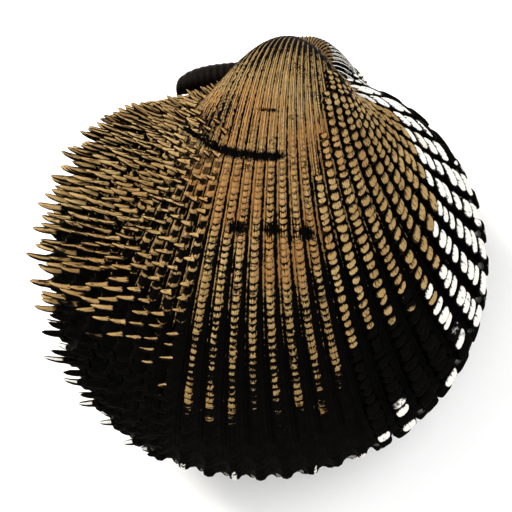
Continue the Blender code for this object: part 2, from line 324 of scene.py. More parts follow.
def addMesh(name, points, faces, material, marks=None, uvs=None, sorts=None):
    data = bpy.data.meshes.new(name)
    data.from_pydata(points.tolist(), [], faces)
    data.polygons.foreach_set("use_smooth", [True] * len(data.polygons))
    for layerName, values in (("marks", marks), ("sorts", sorts)):
        if values is not None:
            layer = data.color_attributes.new(layerName, "FLOAT_COLOR", "POINT")
            layer.data.foreach_set("color", np.ascontiguousarray(values, dtype=np.float32).ravel())
    if uvs is not None:
        uvLayer = data.uv_layers.new(name="along")
        loops = np.zeros(len(data.loops), dtype=np.int32)
        data.loops.foreach_get("vertex_index", loops)
        around = uvs[loops].astype(np.float32)
        # faces that close the ring go on counting ribs instead of falling back to the first
        starts = np.zeros(len(data.polygons), dtype=np.int32)
        data.polygons.foreach_get("loop_start", starts)
        corners = np.diff(np.append(starts, len(loops)))
        highest = np.repeat(np.maximum.reduceat(around[:, 0], starts), corners)
        around[:, 0] += np.where(around[:, 0] < highest - 20.0, np.ceil(uvs[:, 0].max()), 0.0)
        uvLayer.data.foreach_set("uv", around.ravel())
    data.materials.append(material)
    thing = bpy.data.objects.new(name, data)
    bpy.context.scene.collection.objects.link(thing)
    return thing


def flipped(faces, side):
    return [face[::-1] for face in faces] if side < 0 else faces


# A closed tube of rings of points, one after the other from start
def tubeFaces(start, rings, sides):
    faces = []
    for ring in range(rings - 1):
        a, b = start + ring * sides, start + (ring + 1) * sides
        for k in range(sides):
            after = (k + 1) % sides
            faces.append([a + k, b + k, b + after, a + after])
    lastRing = start + (rings - 1) * sides
    faces.append([lastRing + k for k in reversed(range(sides))])
    faces.append([start + k for k in range(sides)])
    return faces


# Columns of points round a valve: their angle, place across the rib, and rib, below 0 at the hinge
def gridColumns(bounds):
    angle, across, ribOf = [], [], []
    for index, (begin, centre, end) in enumerate(bounds):
        for share in mesh["columns"]:
            angle.append(begin + (share + 0.5) * wrapped(end - begin))
            across.append(share)
            ribOf.append(index)
    last, first = bounds[-1][2], bounds[0][0]
    for i in range(mesh["hingeRibs"]):
        for share in mesh["hingeColumns"]:
            angle.append(last + (first - last) % 360.0 * (i + 0.5 + share) / mesh["hingeRibs"])
            across.append(share)
            ribOf.append(-1 - i)
    return np.array(angle), np.array(across), np.array(ribOf)


# Height across the rib: the ridge, the thread beside it and the groove, scalloped at the margin
def ribProfile(across, onRib, turns):
    fromRidge = np.abs(across - ribs["ridgeAt"])
    ridge = 1.0 - smooth(fromRidge, ribs["ridgeHalf"] * 0.76, ribs["ridgeHalf"] * 1.05)
    fromThread = np.abs(across - ribs["threadAt"])
    thread = 1.0 - smooth(fromThread, ribs["threadHalf"] * 0.5, ribs["threadHalf"] * 1.2)
    profile = np.maximum(ridge, thread * ribs["threadHeight"])
    profile = np.where(onRib, profile, 0.30 + 0.45 * ridge)
    scallop = 0.5 + 0.5 * np.cos(2.0 * math.pi * (across - ribs["ridgeAt"]))
    scallop = np.where(onRib, scallop, profile)
    atEdge = 1.0 - smooth(turns, 0.5, 6.0)
    rounding = ribs["rounding"] * np.minimum((fromRidge / ribs["ridgeHalf"]) ** 2, 1.2) * ridge
    return ridge, profile + (scallop - profile) * atEdge, rounding


# The ledges are steep towards the margin and slope away behind, over two counts among the spines
def ledgeSaw(rowCount, kinds):
    single = np.interp(rowCount % 1.0, [0.0, 0.11, 0.42, 0.76, 1.0], [0.0, 1.0, 0.66, 0.22, 0.0])
    pair = (rowCount / 2.0) % 1.0
    double = np.interp(pair, [0.0, 0.055, 0.30, 0.62, 1.0], [0.0, 1.0, 0.75, 0.1, 0.0])
    return np.where(kinds == "spines", double, single)


# Painted highlights on the ends of some ribs at the margin
def endHighlights(rng, bounds, ribOf, across, turns):
    many = len(bounds) + 1
    endHighlight = (rng.random(many) < ribs["endHighlights"])[ribOf] * (ribOf >= 0)
    at = ribs["ridgeAt"] + rng.normal(0.0, 0.09, many)[ribOf]
    wide = rng.uniform(0.10, 0.24, many)[ribOf]
    reach = rng.uniform(0.7, 2.3, many)[ribOf]
    endHighlight = endHighlight * (1.0 - smooth(np.abs(across - at), 0.5 * wide, wide))
    return endHighlight * (1.0 - smooth(turns, 0.4 * reach, reach))


# How wide the painted shade in the grooves is: more near the beak, at the back and above the black
def grooveShadeWidth(turns, above, angle):
    backHalf = 1.0 - smooth(angle % 360.0, 248.0, 274.0)
    wide = 1.0 - 0.20 * smooth(turns, 50.0, 66.0) + 1.2 * smooth(turns, 86.0, 128.0)
    wide = wide + 0.65 * smooth(turns, 62.0, 78.0) * backHalf
    return wide + 1.4 * (1.0 - smooth(above, 0.0, zones["deepAbove"]))


# Faces of the outside, the beak's end, the plain inside and the rim, and the points that these add
def closedWall(rows, columns, angle):
    index = np.arange(rows * columns).reshape(rows, columns)
    right = np.roll(index, -1, axis=1)
    faces = np.stack([index[:-1], right[:-1], right[1:], index[1:]], axis=-1).reshape(-1, 4).tolist()
    beak = rows * columns
    added = [stagePoint(form["hingeAngle"], form["beakTurn"] - 0.01, 0.0, form["edge"])[None, :]]
    faces += [[int(index[-1, j]), int(right[-1, j]), beak] for j in range(columns)]

    innerColumns = np.arange(0, columns, mesh["innerEvery"])
    plate = form["hingePlate"] * bump(angle[innerColumns], form["hingeAngle"], form["hingeSpread"])
    turns = np.array(mesh["innerTurns"])[:, None]
    inner = stagePoint(angle[innerColumns], turns, form["wall"] + plate * stageSize(turns))
    added.append(inner.reshape(-1, 3))
    innerIndex = beak + 1 + np.arange(inner.shape[0] * inner.shape[1]).reshape(inner.shape[:2])
    innerRight = np.roll(innerIndex, -1, axis=1)
    quads = np.stack([innerIndex[:-1], innerIndex[1:], innerRight[1:], innerRight[:-1]], axis=-1)
    faces += quads.reshape(-1, 4).tolist()
    peak = int(innerIndex[-1, -1]) + 1
    added.append((inner[-1].mean(axis=0) + np.array([0.0, 1.0 * mm, 2.0 * mm]))[None, :])
    faces += [[int(innerIndex[-1, j]), peak, int(innerRight[-1, j])] for j in range(inner.shape[1])]
    ends = list(innerColumns) + [columns]
    for j in range(inner.shape[1]):
        outer = [int(index[0, k % columns]) for k in range(ends[j], ends[j + 1] + 1)]
        faces.append([int(innerIndex[0, j]), int(innerRight[0, j])] + outer[::-1])
    return faces, np.concatenate(added)


def valveSurface(side):
    bounds = ribBounds(0.0 if side > 0 else ribs["lowerShift"])
    rng = np.random.default_rng(seed + (0 if side > 0 else 50))
    angle, across, ribOf = gridColumns(bounds)
    onRib = ribOf >= 0
    ribNumber = np.where(onRib, ribOf, len(bounds) - 1 - ribOf)
    ribOf = np.where(onRib, ribOf, -1)
    kinds = np.array([ribKind(b[1]) for b in bounds] + ["none"])[ribOf]
    spans = np.array([wrapped(b[2] - b[0]) for b in bounds] + [0.0])[ribOf]

    # every rib's ledges start at their own place, and each ledge is bowed towards the margin
    count = countRows()
    offset = np.concatenate([rng.random(len(bounds)), [0.5]])[ribOf]
    bow = growths["ledgeArch"] * np.minimum(((across - ribs["ridgeAt"]) / ribs["ridgeHalf"]) ** 2, 1.3)
    settle = smooth(count, 0.0, 2.0)[:, None]
    turns = turnOf(np.maximum(0.0, count[:, None] - (offset - bow) * settle))
    edgeRows = np.array(mesh["edgeRows"])
    turns = np.concatenate([np.zeros((len(edgeRows), len(angle))), turns])
    rounded = np.concatenate([edgeRows, np.ones(len(count))])[:, None]
    rowCount = np.concatenate([edgeRows * 0.0, count])[:, None]
    size = stageSize(turns)

    ridge, profile, rounding = ribProfile(across, onRib, turns)
    growing = 1.0 - smooth(turns, growths["ledgeTurn"] - growths["ledgeFade"], growths["ledgeTurn"])
    amount = np.where(kinds == "ledges", 1.0, np.where(kinds == "spines", 1.15, 0.2)) * onRib
    uneven = 0.75 + 0.5 * rng.random((int(count[-1]) + 2, len(bounds) + 1))
    strength = uneven[rowCount.astype(int), ribOf[None, :]]
    ledges = ledgeSaw(rowCount, kinds) * strength * growing * amount * ridge * np.sqrt(size)
    wave = np.sin(rowCount * 2.0 * math.pi * 0.37 + 1.5 * np.sin(rowCount * 0.21))
    height = -ribs["height"] * size ** ribs["fade"] * (1.0 - profile) - rounding * size
    height = height + growths["ledge"] * ledges + growths["wave"] * wave * np.sqrt(size)
    swollen = ribs["bulge"] * (ledges - 0.45 * growing)
    angles = angle + spans * (across - ribs["ridgeAt"]) * ridge * swollen

    place = stagePoint(angles, turns, 0.0, rounded * form["edge"])
    flat = unit(place * np.array([1.0, 1.0, 0.0]))
    direction = unit(flat * (1.0 - rounded)[..., None] + outward(angles, turns) * rounded[..., None])
    place = place + direction * height[..., None]

    # red: how wide the painted shade in the grooves is, green: the painted shade of the lower third, blue:
    # bleaching and the painted highlights on rib ends, alpha: dark growth lines and the painted shade along
    # the seam
    endHighlight = endHighlights(rng, bounds, ribOf, across, turns)
    wide = grooveShadeWidth(turns, place[..., 1] - shadeBelowLevel(place), angle)
    pale = np.maximum(paleOf(place, turns, side), endHighlight)
    marks = stacked(wide, shadeBelowOf(place) - endHighlight, pale, bandsAndSeamShadeOf(angles, turns))
    # red: ledges, green: spines, blue: beads, alpha: the outside
    ends = tileEnd(angle)
    beaded = (kinds == "tiles") * (1.0 - smooth(turns, ends - 12.0, ends))
    sorts = stacked((kinds == "ledges") * growing, (kinds == "spines") * growing, beaded, 1.0)
    uvs = stacked(ribNumber + across + 0.5, rowCount)

    faces, added = closedWall(*turns.shape, angle)
    points = np.concatenate([place.reshape(-1, 3), added])
    marks = np.concatenate([marks.reshape(-1, 4), np.tile([0.0, 0.0, 1.0, 0.0], (len(added), 1))])
    sorts = np.concatenate([sorts.reshape(-1, 4), np.zeros((len(added), 4))])
    uvs = np.concatenate([uvs.reshape(-1, 2), np.full((len(added), 2), 0.57)])
    return points, flipped(faces, side), marks, uvs, sorts


# Curved blunt spines on the back ribs, one on every second ledge
spines = {
    "length": 4.8 * mm,
    "lengthRange": (0.80, 1.15),
    "root": 1.20 * mm,
    "shaft": 0.64 * mm,
    "tip": 0.38 * mm,
    "thickRange": (0.85, 1.1),
    "taperAt": (0.0, 0.22, 0.55, 0.88, 0.97, 1.0),     # from the root to the end of the tip
    "sides": 8,
    "rings": 8,
    "sunk": 0.4 * mm,
    "start": 0.3 * mm,
    "lean": 1.2,             # sideways against outwards
    "level": 0.16,           # how much of the lean points up or down the shell
    "hook": 0.20,
    "hookRange": (0.4, 1.3),
    "every": 2.0,            # ledges
    "missing": 0.22,
    "missingInside": 0.38,   # added away from the margin
    "highlit": 0.7,             # part of the spines in the black at the margin that get a painted highlight
    "highlitWithin": 1.6,       # ledges from the margin
    "jitter": 0.10,
}


# Spines are shorter beside the middle ribs and beside the hinge
def spineShare(around):
    towardsMiddle = 0.42 * smooth(around, 205.0, growths["spinesTo"])
    return 1.0 - towardsMiddle - 0.30 * smooth(-around, -140.0, -118.0)


def spineMesh(side):
    bounds = ribBounds(0.0 if side > 0 else ribs["lowerShift"])
    rng = np.random.default_rng(seed + (1 if side > 0 else 51))
    points, faces, marks, uvs = [], [], [], []
    last = countOf(growths["spineTurn"])
    rings, sides = spines["rings"], spines["sides"]
    root, shaft, tip = spines["root"], spines["shaft"], spines["tip"]
    radii = [root, shaft * 1.12, shaft, tip * 1.1, tip * 0.85, tip * 0.35]
    shares = np.linspace(0.0, 1.0, rings)[:, None]
    radii = np.interp(shares, spines["taperAt"], radii)
    ringShare = np.repeat(shares, sides)
    turnRound = 2.0 * math.pi * np.arange(sides)[:, None] / sides
    strokesRound = np.tile(3.0 * np.arange(sides) / sides, rings)
    for begin, centre, end in bounds:
        if ribKind(centre) != "spines":
            continue
        at = 0.25 + 1.0 * rng.random()
        ridge = centre + wrapped(end - begin) * ribs["ridgeAt"]
        while at < last:
            turn = float(turnOf(at))
            size = float(stageSize(turn)) ** 0.5
            angle = ridge + rng.normal(0.0, 0.3)
            foot = stagePoint(angle, turn, 0.0, form["edge"])
            normal = outward(angle, turn)
            flat = unit(foot * np.array([1.0, spines["level"], 0.0]))
            length = spines["length"] * size**1.5 * spineShare(centre % 360.0)
            length *= rng.uniform(*spines["lengthRange"])
            away = normal * np.array([1.0, 0.15, 1.0])
            lean = unit(away + flat * spines["lean"] + rng.normal(0.0, spines["jitter"], 3))
            hook = np.array([0.0, 1.0, 0.25]) * spines["hook"] * rng.uniform(*spines["hookRange"])
            sideways = unit(np.cross(lean, normal))
            circle = sideways * np.cos(turnRound) + np.cross(lean, sideways) * np.sin(turnRound)
            thick = radii * (0.5 + 0.5 * size) * rng.uniform(*spines["thickRange"])
            core = foot - normal * spines["sunk"] + lean * (spines["start"] + length * shares)
            core = core + hook * length * shares**2
            here = (core[:, None, :] + circle[None, :, :] * thick[:, :, None]).reshape(-1, 3)
            faces.extend(tubeFaces(len(points), rings, sides))
            points.extend(here.tolist())
            # painted shade along both flanks, heavier on the lower flank, and round the foot, as if outlined
            offsets = np.tile(circle, (rings, 1))
            flank = np.abs(offsets @ unit(np.cross(lean, np.array([0.0, 0.0, 1.0]))))
            flank = flank * np.where(offsets[:, 1] < 0.0, 1.5, 0.92)
            ink = np.maximum(smooth(flank, 0.52, 0.82), 0.8 * (1.0 - smooth(ringShare, 0.02, 0.20)))
            dusk = shadeBelowOf(here.mean(axis=0)) + 0.30 * (rng.random() - 0.5)
            highlit = rng.random() < spines["highlit"] and dusk > 0.5 and at < spines["highlitWithin"]
            # a highlit spine gets a painted highlight along its outer part
            pale = smooth(ringShare, 0.25, 0.5) * (1.0 if highlit else 0.0)
            banded = 0.6 * bandsAndSeamShadeOf(angle, np.full(len(ink), turn))
            marks.extend(stacked(ink, dusk - 0.9 * pale, pale, banded).tolist())
            strokesAlong = 2.0 * ringShare + 4.0 * len(uvs) / len(ink)
            uvs.extend(stacked(strokesRound, strokesAlong).tolist())
            missing = spines["missing"] + spines["missingInside"] * smooth(turn, 15.0, 55.0)
            at += spines["every"] * rng.uniform(0.9, 1.1) * (2.0 if rng.random() < missing else 1.0)
    return np.array(points), flipped(faces, side), np.array(marks), np.array(uvs)


# Rounded bead tiles on the front ribs, the raised end of each over the next one towards the margin
tiles = {
    "step": 1.95 * mm,           # beside the ledges
    "frontStep": 2.5 * mm,
    "stepRange": (0.72, 1.22),
    "half": 0.29,                # half width, in rib pitches
    "halfRange": (0.85, 1.12),
    "frontWider": 0.24,          # how much wider on the front ribs
    "closeWider": 0.40,          # how much wider well above the black
    "height": 1.15 * mm,
    "heightRange": (0.85, 1.15),
    "sunk": 0.45 * mm,
    "skew": 0.30,
    "bowRange": (0.02, 0.16),
    "roundness": 2.6,            # of the outline left by the ink, 2 being an oval
    "across": 11,
    "along": 9,
}


# Faces of one bead, a grid of points from start, closed underneath
def tileFaces(start):
    n, m = tiles["across"], tiles["along"]
    faces = []
    for r in range(m - 1):
        for c in range(n - 1):
            a = start + r * n + c
            faces.append([a, a + 1, a + n + 1, a + n])
    rim = [start + c for c in range(n)] + [start + r * n + n - 1 for r in range(1, m)]
    rim += [start + (m - 1) * n + c for c in range(n - 2, -1, -1)]
    rim += [start + r * n for r in range(m - 2, 0, -1)]
    return faces + [rim[::-1]]


def tileMesh(side):
    bounds = ribBounds(0.0 if side > 0 else ribs["lowerShift"])
    rng = np.random.default_rng(seed + (2 if side > 0 else 52))
    points, faces, marks, uvs = [], [], [], []
    # a rounded square laid out from a grid, lengthways = -1 at its raised end towards the margin
    n, m = tiles["across"], tiles["along"]
    sideways, lengthways = np.meshgrid(np.linspace(-1.0, 1.0, n), np.linspace(-1.0, 1.0, m))
    square = np.maximum(np.abs(sideways), np.abs(lengthways))
    power = tiles["roundness"]
    oval = (np.abs(sideways) ** power + np.abs(lengthways) ** power) ** (1.0 / power)
    dome = (1.0 - square**3.5) ** 0.5 * (1.0 - 0.30 * lengthways) / 1.15
    sunk = tiles["sunk"] * (square > 0.999)
    for begin, centre, end in bounds:
        if ribKind(centre) != "tiles":
            continue
        path = stagePoint(centre, denseTurns, 0.0, form["edge"])
        lengths = np.concatenate([[0.0], np.cumsum(np.linalg.norm(np.diff(path, axis=0), axis=1))])
        span = wrapped(end - begin)
        ridge = centre + span * ribs["ridgeAt"]
        last = np.interp(tileEnd(centre), denseTurns, lengths)
        front = smooth(wrapped(centre), -62.0, -12.0)
        stepHere = tiles["step"] + (tiles["frontStep"] - tiles["step"]) * front
        at = stepHere * (0.2 + 0.3 * rng.random())
        while at < last:
            turn = float(np.interp(at, lengths, denseTurns))
            size = float(stageSize(turn)) ** 0.6
            pace = stepHere * (0.24 + 0.76 * size) * rng.uniform(*tiles["stepRange"])
            half = tiles["half"] * (1.0 + tiles["frontWider"] * front) * rng.uniform(*tiles["halfRange"])
            skew = rng.normal(0.0, tiles["skew"])
            bow = rng.uniform(*tiles["bowRange"])
            lift = tiles["height"] * size * rng.uniform(*tiles["heightRange"])
            spot = stagePoint(ridge, turn)
            bleach = float(paleOf(spot, turn, side))
            close = np.maximum(smooth(spot[1] - shadeBelowLevel(spot), 4.0 * mm, 30.0 * mm), 0.6 * bleach)
            half *= 1.0 + tiles["closeWider"] * close
            ends = lengthways * (1.0 - (0.34 - 0.10 * close) * sideways**2)
            along = (0.53 + 0.07 * close) * ends + 0.30 * skew * sideways - bow * (1.0 - sideways**2)
            turnHere = np.interp(np.clip(at + pace * along, 0.0, None), lengths, denseTurns)
            angleHere = ridge + half * span * sideways * (1.0 - (0.34 - 0.12 * close) * lengthways**2)
            surface = stagePoint(angleHere, turnHere, 0.0, form["edge"])
            surface = surface + outward(angleHere, turnHere) * (lift * dome - sunk)[..., None]
            faces.extend(tileFaces(len(points)))
            points.extend(surface.reshape(-1, 3).tolist())
            # painted shade round its outline, and over its low end, where the next one towards the beak lies
            # over it
            outline = smooth(oval, 0.57 + 0.05 * close, 0.93)
            ink = np.maximum(outline, (0.75 - 0.1 * close) * smooth(lengthways, 0.1, 0.8)).ravel()
            ink = np.minimum(1.0, ink * (1.0 + 0.15 * bleach))
            middle = surface[m // 2, n // 2]
            pale = float(paleOf(middle + rng.normal(0.0, 0.8 * mm, 3), turn, side)) * rng.uniform(0.85, 1.0)
            dusk = shadeBelowOf(middle) + 0.34 * (rng.random() - 0.5) - rng.uniform(0.1, 0.6) * pale
            marks.extend(stacked(ink, dusk, pale, bandsAndSeamShadeOf(angleHere, turnHere).ravel()).tolist())
            strokesAlong = lengthways + 4.0 * len(uvs) / ink.size
            uvs.extend(stacked(sideways, strokesAlong).reshape(-1, 2).tolist())
            at += pace
    return np.array(points), flipped(faces, side), np.array(marks), np.array(uvs)


# Nodes are added with this: type, settings, and links in by socket name
def node(tree, kind, inputs=None, **settings):
    made = tree.nodes.new(kind)
    for key, value in settings.items():
        setattr(made, key, value)
    for key, value in (inputs or {}).items():
        socket = made.inputs[key]
        if isinstance(value, bpy.types.NodeSocket):
            tree.links.new(value, socket)
        else:
            socket.default_value = value
    return made


# Arithmetic between sockets and numbers, in the tree of the socket
def maths(operation, a, b=0.0):
    tree = a.id_data if isinstance(a, bpy.types.NodeSocket) else b.id_data
    return node(tree, "ShaderNodeMath", {0: a, 1: b}, operation=operation).outputs[0]


def add(a, b):
    return maths("ADD", a, b)


def times(a, b):
    return maths("MULTIPLY", a, b)


def less(a, b):
    return maths("SUBTRACT", a, b)


def most(a, b):
    return maths("MAXIMUM", a, b)


def step(value, low, high):
    limits = {"Value": value, "From Min": low, "From Max": high}
    made = node(value.id_data, "ShaderNodeMapRange", limits, interpolation_type="SMOOTHSTEP")
    return made.outputs["Result"]


def noise(vector, scale, detail, roughness=0.5):
    inputs = {"Vector": vector, "Scale": scale, "Detail": detail, "Roughness": roughness}
    return node(vector.id_data, "ShaderNodeTexNoise", inputs).outputs["Fac"]


def stretched(vector, by):
    return node(vector.id_data, "ShaderNodeVectorMath", {0: vector, 1: by}, operation="MULTIPLY").outputs[0]


def distance(vector, place):
    made = node(vector.id_data, "ShaderNodeVectorMath", {0: vector, 1: place}, operation="DISTANCE")
    return made.outputs["Value"]


def mixColour(factor, a, b):
    made = node(factor.id_data, "ShaderNodeMix", data_type="RGBA")
    for socket, value in ((made.inputs[0], factor), (made.inputs[6], a), (made.inputs[7], b)):
        if isinstance(value, bpy.types.NodeSocket):
            factor.id_data.links.new(value, socket)
        else:
            socket.default_value = value
    return made.outputs[2]


# Colours of the shell, as the shader takes them
shellLook = {
    "tan": (0.24, 0.146, 0.053, 1.0),
    "lightTan": (0.355, 0.238, 0.100, 1.0),
    "orange": (0.29, 0.125, 0.035, 1.0),
    "brown": (0.040, 0.016, 0.006, 1.0),
    "black": (0.0012, 0.0010, 0.0008, 1.0),
    "pale": (0.67, 0.65, 0.595, 1.0),
    "roughness": 0.60,
    "specular": 0.015,
    "grain": 520.0,
    "lineWander": 1500.0,
    "scratch": 330.0,
    "beakLines": ((-0.08, 0.075), (0.18, 0.080)),   # place across the rib and half width
    # a ragged line of painted shade along the crest in front of the beak: three of its places round the edge
    # and turns
    "crest": ((258.0, 130.0), (317.0, 118.0), (353.0, 79.5)),
    "crestHalf": 0.75 * mm,
    # reddish patches: place round the edge, turn and reach
    "warmSpots": (
        (224.0, 74.0, 8.0 * mm),
        (250.0, 74.0, 9.0 * mm),
        (256.0, 54.0, 15.0 * mm),
        (284.0, 40.0, 11.0 * mm),
        (300.0, 62.0, 9.0 * mm),
    ),
}


# What was painted on the points, and the noises that all of a shell's finishes share
def shellFields(tree, look):
    marks = node(tree, "ShaderNodeAttribute", attribute_name="marks")
    parts = node(tree, "ShaderNodeSeparateColor", {"Color": marks.outputs["Color"]})
    where = node(tree, "ShaderNodeTexCoord").outputs["Object"]
    return {
        "inked": parts.outputs[0],
        "dusk": parts.outputs[1],
        "pale": parts.outputs[2],
        "band": marks.outputs["Alpha"],
        "where": where,
        "along": node(tree, "ShaderNodeUVMap", uv_map="along").outputs["UV"],
        "mottled": noise(where, 95.0, 5.0, 0.62),
        "cloudy": noise(where, 34.0, 2.0),
        "fine": noise(where, look["grain"], 4.0, 0.7),
        "wander": less(noise(where, look["lineWander"], 2.0), 0.5),
    }


def warmth(fields, look):
    unevenness = times(less(fields["mottled"], 0.5), 0.02)
    warm = times(step(fields["cloudy"], 0.54, 0.72), 0.35)
    for around, turn, reach in look["warmSpots"]:
        spot = tuple(lay(stagePoint(around, turn), 1))
        away = add(distance(fields["where"], spot), unevenness)
        warm = most(warm, times(step(away, reach, reach * 0.25), 0.5))
    return warm


# Thin wandering strokes of painted shading, as contour lines of a noise
def shadingStrokes(fields, look):
    drawn = noise(fields["where"], look["scratch"], 1.0)
    loops = maths("ABSOLUTE", less(maths("FRACT", times(drawn, 4.0)), 0.5))
    return times(step(loops, 0.075, 0.035), step(fields["mottled"], 0.42, 0.52))


# A ragged line of painted shade along the crest, which is where the plane through its three places cuts the
# valve
def crestShadeLine(fields, look, drips):
    where = fields["where"]
    first, second, third = (Vector(lay(stagePoint(*spot, 0.0, form["edge"]), 1)) for spot in look["crest"])
    level = (second - first).cross(third - first).normalized()
    above = node(where.id_data, "ShaderNodeVectorMath", {0: where, 1: level}, operation="DOT_PRODUCT")
    away = maths("ABSOLUTE", less(above.outputs["Value"], level.dot(first)))
    away = add(add(away, times(drips, 0.30 * mm)), times(fields["wander"], 0.9 * mm))
    drawn = step(away, look["crestHalf"] * 1.1, look["crestHalf"] * 0.8)
    half = (third - first).length / 2.0
    return times(drawn, step(distance(where, (first + third) / 2.0), half * 1.15, half * 0.9))


# Painted shade in the pits under the lips of the ledges and the spines, each of its own width
def ledgeShade(fields, v, pitJitter, ledged, spined):
    wander = fields["wander"]
    deeper = times(less(fields["inked"], 1.0), 0.24)
    single = add(maths("FRACT", add(v, times(wander, 0.6))), pitJitter)
    pits = times(step(add(single, deeper), 0.72, 0.80), ledged)
    double = add(maths("FRACT", times(add(v, times(wander, 0.5)), 0.5)), times(pitJitter, 0.4))
    return most(pits, times(step(add(double, times(deeper, 1.5)), 0.35, 0.41), spined))


# Rows of dots and broken lines along the narrow ribs near the beak
def beakInk(fields, look, across, v, hair):
    mottled, wander = fields["mottled"], fields["wander"]
    toMiddle = maths("ABSOLUTE", less(across, ribs["ridgeAt"]))
    dots = step(maths("FRACT", add(times(v, 1.4), times(wander, 0.5))), 0.60, 0.72)
    dots = times(dots, step(toMiddle, 0.09, 0.05))
    ink = times(dots, step(mottled, 0.42, 0.55))
    broken = step(add(hair, times(less(mottled, 0.5), 0.5)), 0.33, 0.43)
    for lineAt, half in look["beakLines"]:
        away = maths("ABSOLUTE", less(add(across, times(wander, 0.16)), lineAt))
        ink = most(ink, times(step(away, half, half * 0.35), broken))
    return most(ink, times(step(hair, 0.585, 0.62), 0.9))


# The walls: ridge and thread stay clear, and the grooves between them get painted shade in black
def paintWall(fields, look, base):
    tree = base.id_data
    along, wander, mottled = fields["along"], fields["wander"], fields["mottled"]
    sorts = node(tree, "ShaderNodeAttribute", attribute_name="sorts")
    sort = node(tree, "ShaderNodeSeparateColor", {"Color": sorts.outputs["Color"]})
    ledged, spined, beaded = sort.outputs[0], sort.outputs[1], sort.outputs[2]
    outside = sorts.outputs["Alpha"]
    summit = less(less(less(outside, ledged), spined), beaded)
    place = node(tree, "ShaderNodeSeparateXYZ", {"Vector": along})
    u, v = place.outputs[0], place.outputs[1]
    across = less(maths("FRACT", u), 0.5)
    # growth striae across the ribs, and hair lines along them
    hatch = noise(stretched(along, (3.0, 7.0, 1.0)), 1.0, 3.0, 0.6)
    hair = noise(stretched(along, (17.0, 0.22, 1.0)), 1.0, 3.0, 0.65)
    base = mixColour(times(summit, 0.45), base, look["lightTan"])
    base = mixColour(warmth(fields, look), base, look["orange"])
    hairLines = times(step(hair, 0.56, 0.62), less(0.75, times(summit, 0.3)))
    base = mixColour(hairLines, base, look["brown"])
    base = mixColour(times(step(hatch, 0.58, 0.68), 0.5), base, look["brown"])

    toRidge = less(maths("ABSOLUTE", less(across, ribs["ridgeAt"])), ribs["ridgeHalf"])
    toThread = less(maths("ABSOLUTE", less(across, ribs["threadAt"])), ribs["threadHalf"])
    edge = maths("MINIMUM", toRidge, toThread)
    edge = add(edge, add(times(wander, 0.28), times(less(mottled, 0.5), 0.40)))
    edge = less(edge, times(less(1.0, fields["inked"]), 0.12))
    ink = times(step(edge, -0.01, 0.035), outside)
    # every ledge of every rib has its own chance
    cell = node(tree, "ShaderNodeCombineXYZ", {"X": maths("FLOOR", u), "Y": maths("FLOOR", v)})
    chance = node(tree, "ShaderNodeTexWhiteNoise", {"Vector": cell.outputs[0]}, noise_dimensions="2D")
    chance = less(chance.outputs["Value"], 0.5)
    pitJitter = add(times(less(hair, 0.5), 1.1), times(less(mottled, 0.5), 1.1))
    pitJitter = add(pitJitter, times(chance, 0.25))
    onRidge = step(toRidge, 0.03, -0.03)
    ink = most(ink, times(ledgeShade(fields, v, pitJitter, ledged, spined), onRidge))
    # the ridge under the beads painted near black: the shade beneath and between them
    ink = most(ink, times(times(onRidge, beaded), 0.96))
    ink = most(ink, times(beakInk(fields, look, across, v, hair), summit))
    ink = most(ink, times(shadingStrokes(fields, look), 0.85))
    dusk = add(fields["dusk"], add(times(chance, 0.34), times(less(hatch, 0.5), 0.9)))
    relief = add(times(hatch, 0.6), times(fields["fine"], 0.4))
    return base, ink, dusk, relief, times(less(hair, 0.5), 2.2)


# Spines and beads: an outline of painted shade, and short strokes of painted shading along each, closest
# beside it
def paintGrowths(fields, look, base):
    base = mixColour(warmth(fields, look), base, look["orange"])
    inked = fields["inked"]
    ink = step(add(inked, times(fields["wander"], 0.5)), 0.42, 0.60)
    strokes = noise(stretched(fields["along"], (5.5, 0.9, 1.0)), 1.0, 2.0, 0.6)
    strokes = less(add(strokes, times(inked, 0.34)), times(fields["pale"], 0.06))
    ink = most(ink, times(step(strokes, 0.59, 0.63), 0.9))
    return base, ink, fields["dusk"], fields["fine"], times(less(fields["mottled"], 0.5), 1.5)


def shellMaterial(name, look, paint):
    material = bpy.data.materials.new(name)
    material.use_nodes = True
    tree = material.node_tree
    shader = tree.nodes["Principled BSDF"]
    fields = shellFields(tree, look)
    uneven = less(fields["mottled"], 0.5)
    base = mixColour(step(fields["mottled"], 0.32, 0.72), look["tan"], look["lightTan"])
    base, ink, dusk, relief, drips = paint(fields, look, base)
    base = mixColour(times(step(fields["fine"], 0.60, 0.72), 0.5), base, look["brown"])
    # bleached front edge, and the painted highlights on rib ends and some spines
    base = mixColour(step(add(fields["pale"], times(uneven, 0.5)), 0.40, 0.60), base, look["pale"])
    base = mixColour(ink, base, look["black"])
    # the lower third painted black: painted shade
    base = mixColour(step(add(dusk, times(uneven, 0.9)), 0.47, 0.53), base, look["black"])
    # dark growth lines, and the painted shade line along the seam
    lines = step(add(fields["band"], add(times(fields["wander"], 0.9), drips)), 0.40, 0.50)
    base = mixColour(times(lines, step(fields["band"], 0.05, 0.25)), base, look["black"])
    base = mixColour(crestShadeLine(fields, look, drips), base, look["black"])

    tree.links.new(base, shader.inputs["Base Color"])
    rough = add(times(fields["fine"], 0.22), look["roughness"] - 0.11)
    tree.links.new(rough, shader.inputs["Roughness"])
    shader.inputs["Specular IOR Level"].default_value = look["specular"]
    bumped = node(tree, "ShaderNodeBump", {"Height": relief, "Strength": 0.4, "Distance": 0.25 * mm})
    tree.links.new(bumped.outputs["Normal"], shader.inputs["Normal"])
    return material


shellSkin = shellMaterial("shellSkin", shellLook, paintWall)
beadSkin = shellMaterial("beadSkin", shellLook, paintGrowths)
